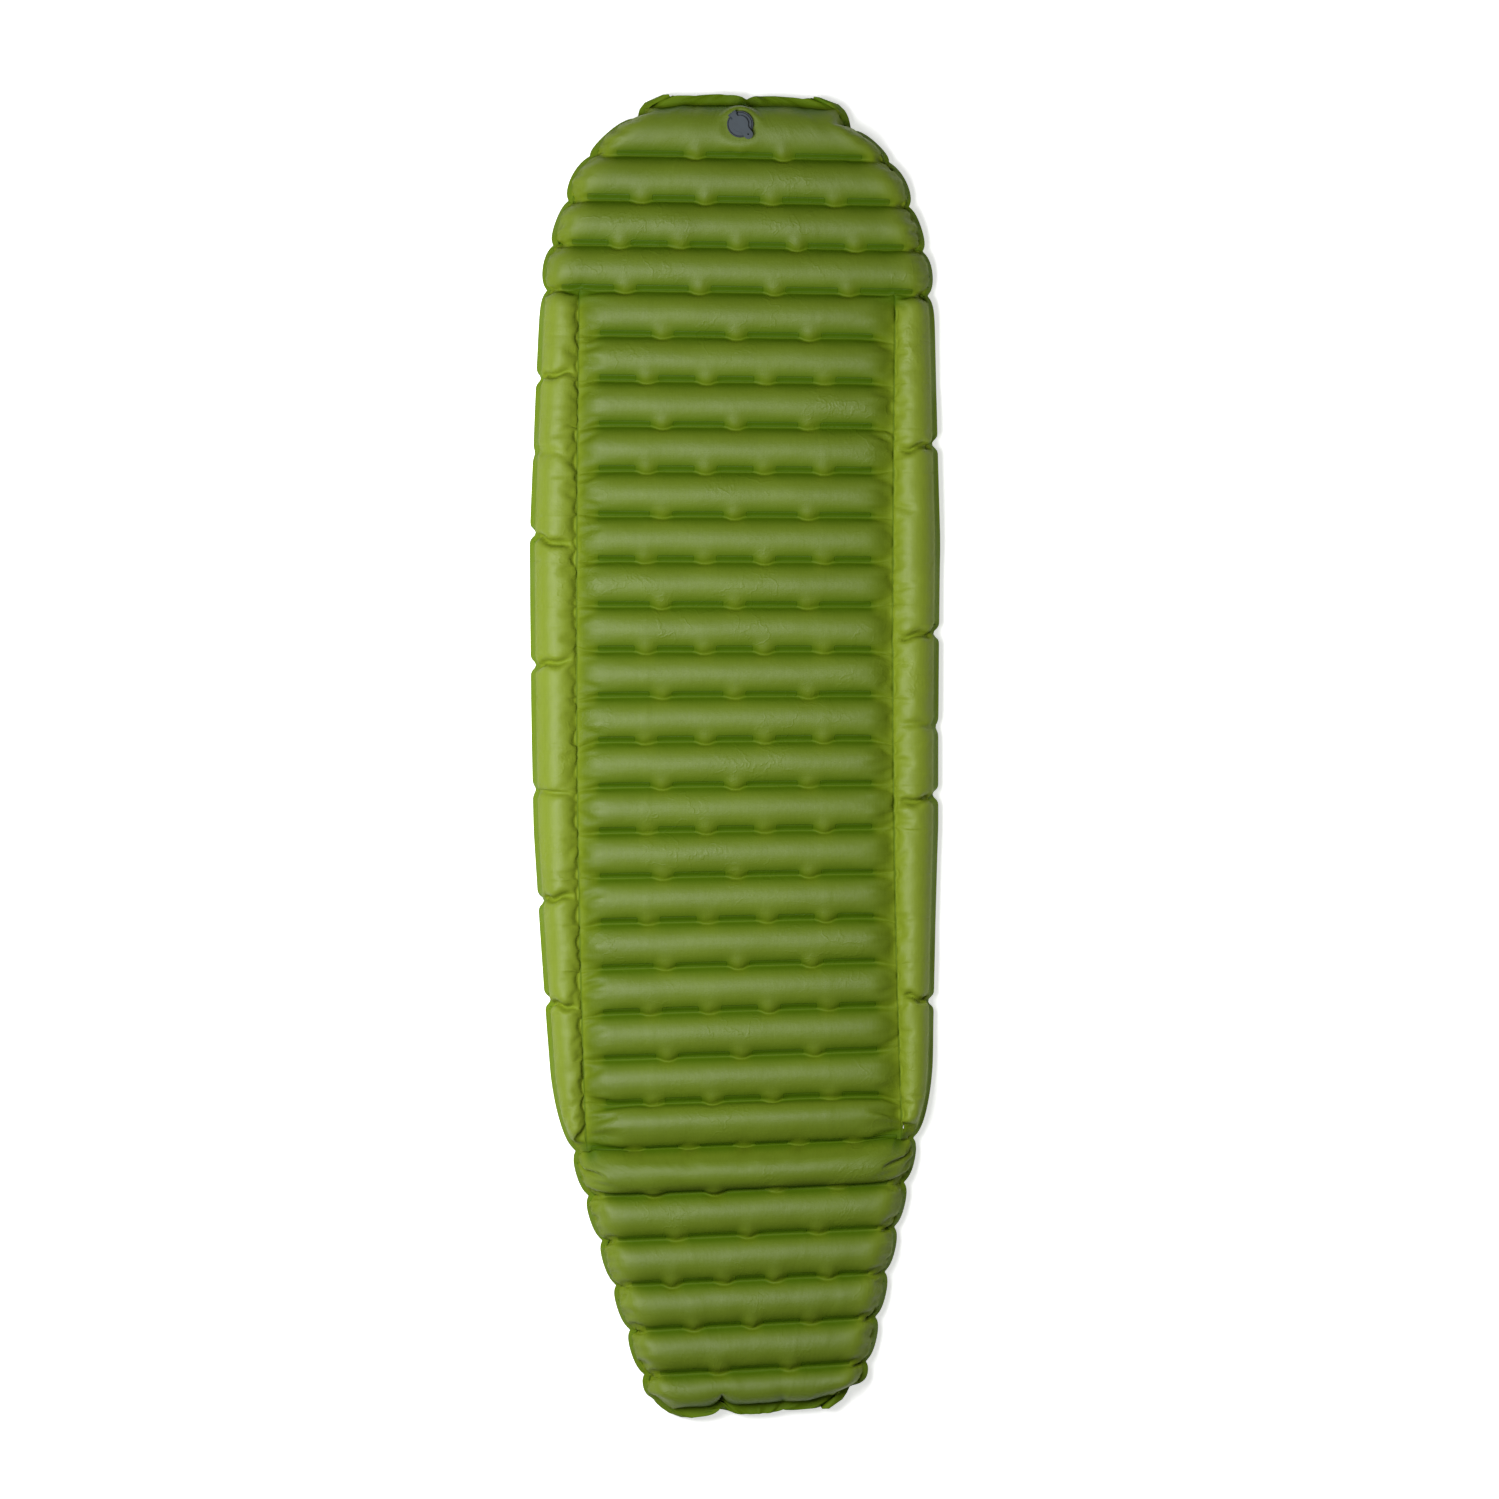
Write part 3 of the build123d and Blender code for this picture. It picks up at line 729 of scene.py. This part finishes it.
def flat_across(order):
    """Distance across on the flat cut, from the middle to a column, where the pad is widest."""
    x, z = arc_points(0, RAIL_ZONE - FLANGE, SEAM_Z, MID_Z)
    rail = np.hypot(np.diff(x), np.diff(z)).sum()
    at = [0, FIELD_STEPS, SEAM_COLUMN, RIM_COLUMN, HALF_COLUMNS]
    return np.interp(order, at, [0, FIELD_REACH, SEAM, SEAM + rail, SEAM + rail + FLANGE])


ROW_OFFSETS = (-0.6, -0.2, 0.2, 0.6)  # extra rows beside a weld's foot edge
COLUMN_OFFSETS = (-0.6, -0.25, 0.25, 0.6)  # and extra columns beside a seam
SEAM_COLUMN_WIDTH = 5.0
FLANGE_STEP = FLANGE / FLANGE_STEPS
FAR = 99.0
LIP_LIFT = 0.9
LIP_WIDTH = 1.1
PACKING_PLACES = (-124, 121)
PACKING_LIFT = 0.8
PACKING_WIDTH = 2.4
PACKING_WANDER = 3.0
END_GATHERS = ((3.2, 5, 4.5), (1.8, 9, 9.0))  # (height, wavelength in rows, reach in columns)
RIM_OVERLAP = 0.35  # the lower sheet's rim lies this far below the upper one's
LOW_DEPTH = 18.0  # below this depth the cloth has lost its shine


class FineGrid:
    """The solved sheet on a finer grid, in millimetres, with the fields that its finish reads."""

    def __init__(self, start, solved):
        lips = [lip_index(row) for row in range(ROWS)]
        seams = [HALF_COLUMNS - SEAM_COLUMN, HALF_COLUMNS + SEAM_COLUMN]
        self.rows = fine_positions(GRID_ROWS, lips, ROW_OFFSETS)
        self.columns = fine_positions(COLUMNS, seams, COLUMN_OFFSETS)
        self.order = np.abs(self.columns - HALF_COLUMNS)
        self.points = resample(solved, self.rows, self.columns)
        self.railed = np.interp(self.rows, ROW_NUMBER, HAS_RAIL)[:, None]

        middle_steps = np.linalg.norm(np.diff(start[:, HALF_COLUMNS], axis=0), axis=-1)
        self.rest_v = np.concatenate([[0], np.cumsum(middle_steps)])
        whole = np.zeros((len(self.rows), len(self.columns)))
        self.v = np.interp(self.rows, ROW_NUMBER, self.rest_v)[:, None] + whole
        self.u = np.interp(self.columns, np.arange(COLUMNS), flat_across(ORDER) * SIDE) + whole

        strip_v = self.rest_v[lips]
        nearest = np.abs(self.v[..., None] - (strip_v + STRIP / 2)).argmin(axis=-1)
        self.tab_u = np.zeros_like(self.v)
        for row in range(ROWS):
            mine = nearest == row
            self.tab_u[mine] = tab_distance(row, self.points[mine, 0])
        self.tab_v = np.abs(self.v - (strip_v[nearest] + STRIP / 2))
        self.at_lip = bell(self.v - strip_v[nearest], LIP_WIDTH)

        with_seam = (self.rows >= lip_index(RAIL_END_ROW)) & (self.rows <= lip_index(RAIL_START_ROW))
        from_seam = np.abs(self.order - SEAM_COLUMN)
        self.seam = np.where(with_seam[:, None], from_seam * SEAM_COLUMN_WIDTH, FAR)
        past_end = np.maximum(FLANGE_STEPS - self.rows, self.rows - (GRID_ROWS - 1 - FLANGE_STEPS))
        self.rim = np.maximum(self.order - RIM_COLUMN, past_end[:, None]) * FLANGE_STEP

    def add_details(self):
        count = len(self.rows)
        # a fine lip where each weld's foot edge is pulled down on its baffle
        lift = LIP_LIFT * self.at_lip * smooth(-12, 2, self.tab_u)
        # two packing folds along the pad
        for place, seed in zip(PACKING_PLACES, PACKING_SEEDS):
            wander = noise_line(count, 22, seed)[:, None] * PACKING_WANDER
            strength = 0.4 + 0.6 * np.abs(noise_line(count, 9, seed + PACKING_FADE))[:, None]
            lift += PACKING_LIFT * bell(self.u - place - wander, PACKING_WIDTH) * strength
        # small gathers where the tubes' ends are drawn into the rim
        for hand in (-1, 1):
            here = np.sign(self.columns - HALF_COLUMNS) == hand
            for size, wavelength, reach in END_GATHERS:
                folds = noise_line(count, wavelength, END_GATHER_SEED + hand + wavelength)[:, None]
                fade = bell(RIM_COLUMN - self.order, reach)
                lift += size * folds * fade * (1 - self.railed) * here
        self.points += grid_normals(self.points) * (lift * (self.rim < 0))[..., None]

    def lower_heights(self):
        """The lower sheet is the upper one's mirror image, joined to it along the wavy rim."""
        z = self.points[..., 2]
        left, right = (np.searchsorted(self.columns, HALF_COLUMNS + k * RIM_COLUMN) for k in (-1, 1))
        side_z = np.where(self.columns < HALF_COLUMNS, z[:, [left]], z[:, [right]]) - MID_Z
        near_side = smooth(RIM_COLUMN - 9, RIM_COLUMN, self.order)
        foot_rim, head_rim = FLANGE_STEPS, GRID_ROWS - 1 - FLANGE_STEPS
        foot_z, head_z = (z[np.searchsorted(self.rows, row)] - MID_Z for row in (foot_rim, head_rim))
        near_foot = (1 - smooth(foot_rim, foot_rim + 8, self.rows))[:, None]
        near_head = smooth(head_rim - 8, head_rim, self.rows)[:, None]
        rise = side_z * near_side * (1 - near_foot) * (1 - near_head)
        rise = rise + foot_z * near_foot + head_z * near_head
        mirrored = np.maximum(THICKNESS - z + 2 * rise, 0.0)
        return np.where(self.rim >= -0.1, z - RIM_OVERLAP, mirrored)

    def fields(self):
        """What the finish reads: painted shade in the furrows, by their depth; painted shade over the
        pad's middle, which is darker than its rails and tube ends (`middle`); and `low`, which dulls
        the shine of the deeper cloth.
        """
        depth = THICKNESS - self.points[..., 2]
        at_rail = smooth(SEAM_COLUMN - 3, SEAM_COLUMN + 1, self.order)
        at_end = 0.5 * smooth(RIM_COLUMN - 14, RIM_COLUMN - 4, self.order)
        near_edge = smooth(RIM_COLUMN - 12, RIM_COLUMN - 3, self.order)
        near_seam = self.railed * (1 - smooth(2, 7, np.abs(self.order - SEAM_COLUMN)))
        painted_furrow_shade = depth * (1 - near_edge) * (self.rim < 0) * (1 - 0.8 * near_seam)
        # painted shade: the furrows are darkened by their depth, most across from the weld tabs, less
        # on the lip, near the seams and near the tube ends
        return {
            "painted_furrow_shade": painted_furrow_shade * (0.4 + 0.6 * smooth(-14, 3, self.tab_u)) * (1 - 0.6 * self.at_lip),
            # painted shade: 1 over the pad's middle, which is darkened; less over the rails and tube
            # ends, which stay lighter
            "middle": 1 - self.railed * at_rail - (1 - self.railed) * at_end,
            "low": np.clip(depth / LOW_DEPTH, 0, 1),
            "flat_u": self.u / 1000,
            "flat_v": self.v / 1000,
            "tab_u": self.tab_u,
            "tab_v": self.tab_v,
            "seam": self.seam,
            "rim": self.rim,
        }

    def flat_cut(self):
        """Size, in metres, and area, in square metres, of a sheet's flat cut."""
        spare = flat_across(HALF_COLUMNS) - SEAM - RAIL_ZONE
        flat_half = half_width((ALONG[1:] + ALONG[:-1]) / 2) + spare
        area = float((2 * flat_half * np.diff(self.rest_v)).sum()) / 1e6
        return (2 * float(flat_half.max()) / 1000, float(self.rest_v[-1]) / 1000), area


def make_fabric():
    start = start_shape()
    grid = FineGrid(start, solve(start, SOLVER_STEPS))
    grid.add_details()
    x, y = on_spine(grid.points[..., 0], grid.points[..., 1])
    fields = grid.fields()
    hole = (*on_spine(0.0, VALVE_ALONG), HOLE_RADIUS)
    top = build_sheet("top_fabric", np.stack([x, y, grid.points[..., 2]], axis=-1), fields, hole)
    lower = np.stack([x, y, grid.lower_heights()], axis=-1)
    return top, build_sheet("bottom_fabric", lower, fields), *grid.flat_cut()


# --- finishes -------------------------------------------------------------------------------------
class Nodes:
    """A material's node tree, written as short calls."""

    def __init__(self, name):
        self.material = bpy.data.materials.new(name)
        self.material.use_nodes = True
        self.tree = self.material.node_tree
        self.shader = self.tree.nodes["Principled BSDF"]

    def node(self, kind, inputs=(), **settings):
        made = self.tree.nodes.new(kind)
        for key, value in settings.items():
            setattr(made, key, value)
        for key, value in dict(inputs).items():
            self.put(made.inputs[key], value)
        return made

    def put(self, socket, value):
        if isinstance(value, bpy.types.NodeSocket):
            self.tree.links.new(value, socket)
        else:
            socket.default_value = value

    def finish(self, **inputs):
        """Connects the shader's inputs, named with _ for a space, and returns the material."""
        for key, value in inputs.items():
            self.put(self.shader.inputs[key.replace("_", " ")], value)
        return self.material

    def math(self, operation, a, b=0.0):
        return self.node("ShaderNodeMath", {0: a, 1: b}, operation=operation).outputs[0]

    def plus(self, a, b):
        return self.math("ADD", a, b)

    def minus(self, a, b):
        return self.math("SUBTRACT", a, b)

    def times(self, a, b):
        return self.math("MULTIPLY", a, b)

    def swing(self, noise, size):
        """A noise about nought instead of a half, and of the given size."""
        return self.times(self.minus(noise, 0.5), size)

    def field(self, name):
        return self.node("ShaderNodeAttribute", attribute_name=name).outputs["Fac"]

    def ramp(self, value, low, high, out_low=0.0, out_high=1.0):
        """A smooth step of `value` between two limits."""
        made = self.node("ShaderNodeMapRange", {0: value, 1: low, 2: high, 3: out_low, 4: out_high})
        made.interpolation_type = "SMOOTHSTEP"
        return made.outputs[0]

    def line(self, value, outside, core):
        """1 near value 0, between two smooth steps: (outer, inner) limits below it and above it."""
        return self.times(self.ramp(value, *outside), self.ramp(value, *core))

    def wave(self, value, pitch):
        return self.math("SINE", self.times(value, 2 * pi / pitch))

    def noise(self, vector, scale, detail=2.0, roughness=0.5):
        inputs = {"Vector": vector, "Scale": scale, "Detail": detail, "Roughness": roughness}
        return self.node("ShaderNodeTexNoise", inputs).outputs["Fac"]

    def mix(self, share, a, b, blend="MIX"):
        made = self.node("ShaderNodeMix", data_type="RGBA", blend_type=blend)
        for key, value in ((0, share), (6, a), (7, b)):
            self.put(made.inputs[key], value)
        return made.outputs[2]

    def bump(self, height, distance, strength=1.0, normal=None):
        inputs = {"Height": height, "Distance": distance, "Strength": strength}
        if normal is not None:
            inputs["Normal"] = normal
        return self.node("ShaderNodeBump", inputs).outputs["Normal"]

    def place(self):
        return self.node("ShaderNodeTexCoord").outputs["Object"]

    def vector(self, x, y):
        return self.node("ShaderNodeCombineXYZ", {0: x, 1: y}).outputs[0]


def linear(red, green, blue):
    """A display colour, 0 to 255, as a shader colour."""
    shares = [c / 255 for c in (red, green, blue)]
    return *(((c + 0.055) / 1.055) ** 2.4 if c > 10 / 255 else c / 12.92 for c in shares), 1.0


def toned(colour, red, green=None, blue=None):
    """A shader colour with its channels multiplied, all by one number or each by its own."""
    shares = (red, red, red) if green is None else (red, green, blue)
    return *(c * share for c, share in zip(colour, shares)), 1.0


FABRIC_GREEN = (109, 126, 28)
UNDER_GREEN = (88, 114, 20)
TAB_CORNER = 2.2
TAB_HALF_WIDTH = 4.6
WEAVE_PITCH = 0.0011
RIB_PITCH = 0.0052
RIB_EDGE = 0.93
# how much of a tone is mixed in, and the tone, as shares of the fabric's red, green and blue
WELD_TONE = (0.60, (0.42, 0.55, 0.3))
OUTLINE_TONE = (0.35, (0.25, 0.38, 0.15))
SEAM_TONE = (0.55, (0.3, 0.45, 0.2))
RIM_TONE = (0.5, (0.5, 0.72, 0.2))
RIM_LINE_TONE = (0.15, (0.3, 0.42, 0.2))
# painted shade in the furrows: its share and tone, and the depths, in millimetres, over which it grows
# in
PAINTED_FURROW_SHADE_TONE = (0.70, (0.24, 0.42, 0.02))
PAINTED_SHADE_FROM, PAINTED_SHADE_TO = 1.0, 15.0
# painted shade, multiplied over the pad's middle so that it is darker than its rails and tube ends
PAINTED_MIDDLE_SHADE_TINT = (0.60, 0.66, 0.32, 1.0)
CREST_SPECULAR, LOW_SPECULAR = 0.34, 0.05
FABRIC_ROUGHNESS = 0.52


def fabric_material(name, colour):
    """Satin ripstop nylon with its inner coating: welds show as darker, pressed strips. Painted shade
    darkens the furrows and the pad's middle.
    """
    n = Nodes(name)
    u, v = n.field("flat_u"), n.field("flat_v")
    flat = n.vector(u, v)
    # welds: a rounded strip, its outline pressed in
    out_u = n.math("MAXIMUM", n.minus(TAB_CORNER, n.field("tab_u")), 0.0)
    out_v = n.math("MAXIMUM", n.minus(n.field("tab_v"), TAB_HALF_WIDTH - TAB_CORNER), 0.0)
    box = n.minus(n.math("SQRT", n.plus(n.times(out_u, out_u), n.times(out_v, out_v))), TAB_CORNER)
    weld = n.ramp(box, 0.5, -0.5)
    outline = n.line(box, (-1.1, -0.2), (0.9, 0.1))
    seam = n.ramp(n.field("seam"), 2.6, 0.6)
    rim = n.field("rim")
    in_rim = n.ramp(rim, -0.6, 0.6)
    rim_line = n.line(rim, (-1.6, -0.2), (1.4, 0.4))
    # ripstop: fine cross ribs over a plain weave
    weave = n.times(n.wave(u, WEAVE_PITCH), n.wave(v, WEAVE_PITCH))
    rib_u, rib_v = (n.ramp(n.wave(at, RIB_PITCH), RIB_EDGE, 1.0) for at in (u, v))
    ribs = n.math("MAXIMUM", rib_u, rib_v)
    # the colour, a little uneven
    patches = n.noise(flat, 9.0, 3.0)
    streaks = n.noise(n.vector(n.times(u, 8.0), v), 60.0)
    tone = n.plus(n.plus(n.swing(patches, 0.16), n.swing(streaks, 0.14)), n.times(ribs, 0.035))
    shown = n.mix(n.ramp(tone, -0.12, 0.12), toned(colour, 0.90), toned(colour, 1.09))
    for mask, (share, tint) in (
        (weld, WELD_TONE),
        (outline, OUTLINE_TONE),
        (seam, SEAM_TONE),
        (in_rim, RIM_TONE),
        (rim_line, RIM_LINE_TONE),
    ):
        shown = n.mix(n.times(mask, share), shown, toned(colour, *tint))
    # painted shade: the pad's middle is darkened, against its lighter rails and tube ends
    shown = n.mix(n.field("middle"), shown, PAINTED_MIDDLE_SHADE_TINT, "MULTIPLY")
    # painted shade: the furrows are darkened with their depth
    share, tint = PAINTED_FURROW_SHADE_TONE
    painted_furrow_shade = n.ramp(n.field("painted_furrow_shade"), PAINTED_SHADE_FROM, PAINTED_SHADE_TO, 0.0, share)
    shown = n.mix(painted_furrow_shade, shown, toned(colour, *tint))
    gloss = n.plus(n.plus(FABRIC_ROUGHNESS, n.swing(patches, 0.10)), n.times(weld, -0.04))
    # the relief: weave and ribs, crumples, long creases, and the pressed lines
    normal = n.bump(n.plus(n.times(weave, 0.35), n.times(ribs, 0.5)), 0.00012, 0.6)
    normal = n.bump(n.noise(flat, 75.0, 4.0, 0.62), 0.0016, 0.35, normal)
    crease = n.math("ABSOLUTE", n.minus(n.noise(flat, 24.0, 3.0, 0.55), 0.5))
    crease = n.times(n.ramp(crease, 0.035, 0.0), n.ramp(n.noise(flat, 7.0, 1.0), 0.50, 0.62))
    normal = n.bump(crease, 0.0012, 0.22, normal)
    normal = n.bump(n.plus(n.times(outline, -1.0), n.times(seam, -0.8)), 0.0007, 0.6, normal)
    specular = n.ramp(n.field("low"), 0.0, 1.0, CREST_SPECULAR, LOW_SPECULAR)
    return n.finish(Base_Color=shown, Roughness=gloss, Specular_IOR_Level=specular, Normal=normal)


def moulded_material(name, colour, gloss, grain=900.0):
    """Moulded plastic or rubber: a fine spark-eroded grain, slightly uneven in colour and shine."""
    n = Nodes(name)
    place = n.place()
    cloud = n.noise(place, 70.0, 3.0)
    return n.finish(
        Base_Color=n.mix(n.ramp(cloud, 0.3, 0.7), toned(colour, 0.88), toned(colour, 1.10)),
        Roughness=n.plus(gloss, n.swing(cloud, 0.18)),
        Normal=n.bump(n.noise(place, grain), 0.00008, 0.5),
    )


def film_material(name):
    """Milky baffle film with faint streaks from its rolling."""
    n = Nodes(name)
    stretched = n.node("ShaderNodeMapping", {"Vector": n.place(), "Scale": (12.0, 1.0, 1.0)})
    streaks = n.noise(stretched.outputs[0], 40.0)
    return n.finish(
        Base_Color=n.mix(n.ramp(streaks, 0.3, 0.7), linear(205, 208, 200), linear(228, 230, 224)),
        Roughness=n.plus(0.38, n.times(streaks, 0.2)),
        Normal=n.bump(streaks, 0.0002, 0.4),
    )


def floor_material():
    """A near-white floor that glows a little, so that it reads as white, as behind the photo's pad."""
    n = Nodes("pale_floor")
    speck = n.noise(n.place(), 6.0)
    return n.finish(
        Base_Color=n.mix(n.ramp(speck, 0.3, 0.7), linear(250, 250, 250), linear(253, 253, 253)),
        Roughness=0.9,
        Specular_IOR_Level=0.1,
        Emission_Color=linear(255, 255, 255),
        Emission_Strength=0.6,
    )


def finish_nodes():
    """Gives every carried-over CAD node its finish."""
    plastic = moulded_material("valve_plastic_slate", linear(47, 57, 65), 0.55)
    dark = moulded_material("valve_plastic_shade", linear(37, 45, 53), 0.55)
    rubber = moulded_material("valve_silicone", linear(52, 55, 58), 0.62, 500.0)
    film = film_material("baffle_film_milky")
    chosen = {
        "valve_base": dark,
        "deflation_plug": plastic,
        "flap_guide": plastic,
        "inflation_cap": plastic,
        "plug_seal": rubber,
        "check_flap": rubber,
    }
    for name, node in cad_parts.items():
        if name in ("top_sheet", "bottom_sheet"):
            continue
        material = chosen.get(name, film)
        for slot in node.material_slots:
            slot.material = material
        if not node.material_slots:
            node.data.materials.append(material)


# --- stage, light and camera, in metres -----------------------------------------------------------
FLOOR_HALF = 9.0
FLOOR_Z = -0.0006
CAMERA_HEIGHT = 7.0
CAMERA_X = 0.0203
CAMERA_Y = 0.0089
VIEW_WIDTH = 2.0986  # what the view spans at the height of the pad's rim
RIM_HEIGHT = MID_Z / 1000
SENSOR_WIDTH = 36.0
WORLD_STRENGTH = 0.14
KEY_PLACE = (-0.78, 0.05, 2.05)
KEY_TARGET = (0, 0.1, 0)
KEY_SIZE = 1.15
KEY_POWER = 77.0


def make_stage():
    mesh = bpy.data.meshes.new("floor")
    corners = [(x * FLOOR_HALF, y * FLOOR_HALF, 0) for x, y in ((-1, -1), (1, -1), (1, 1), (-1, 1))]
    mesh.from_pydata(corners, [], [(0, 1, 2, 3)])
    mesh.materials.append(floor_material())
    floor = bpy.data.objects.new("floor", mesh)
    floor.location.z = FLOOR_Z
    bpy.context.scene.collection.objects.link(floor)


def make_light():
    world = bpy.data.worlds.new("studio")
    world.use_nodes = True
    back = world.node_tree.nodes["Background"]
    back.inputs["Color"].default_value = (1, 1, 1, 1)
    back.inputs["Strength"].default_value = WORLD_STRENGTH
    bpy.context.scene.world = world
    data = bpy.data.lights.new("key", "AREA")
    data.shape = "RECTANGLE"
    data.size = data.size_y = KEY_SIZE
    data.energy = KEY_POWER
    light = bpy.data.objects.new("key", data)
    light.location = KEY_PLACE
    light.rotation_mode = "QUATERNION"
    light.rotation_quaternion = (Vector(KEY_TARGET) - Vector(KEY_PLACE)).to_track_quat("-Z", "Y")
    bpy.context.scene.collection.objects.link(light)


def make_camera():
    data = bpy.data.cameras.new("camera")
    data.sensor_width = SENSOR_WIDTH
    data.lens = data.sensor_width * (CAMERA_HEIGHT - RIM_HEIGHT) / VIEW_WIDTH
    data.clip_end = 100
    camera = bpy.data.objects.new("camera", data)
    camera.location = (CAMERA_X, CAMERA_Y, CAMERA_HEIGHT)
    bpy.context.scene.collection.objects.link(camera)
    bpy.context.scene.camera = camera


# --- run ------------------------------------------------------------------------------------------
make_camera()
make_stage()
make_light()
bpy.context.scene.view_settings.view_transform = "Standard"
top_fabric, bottom_fabric, flat_size, flat_area = make_fabric()
top_fabric.data.materials.append(fabric_material("top_nylon", linear(*FABRIC_GREEN)))
bottom_fabric.data.materials.append(fabric_material("bottom_nylon", linear(*UNDER_GREEN)))
for piece, node in ((top_fabric, "top_sheet"), (bottom_fabric, "bottom_sheet")):
    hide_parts(node)
    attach(piece, "pad")
finish_nodes()
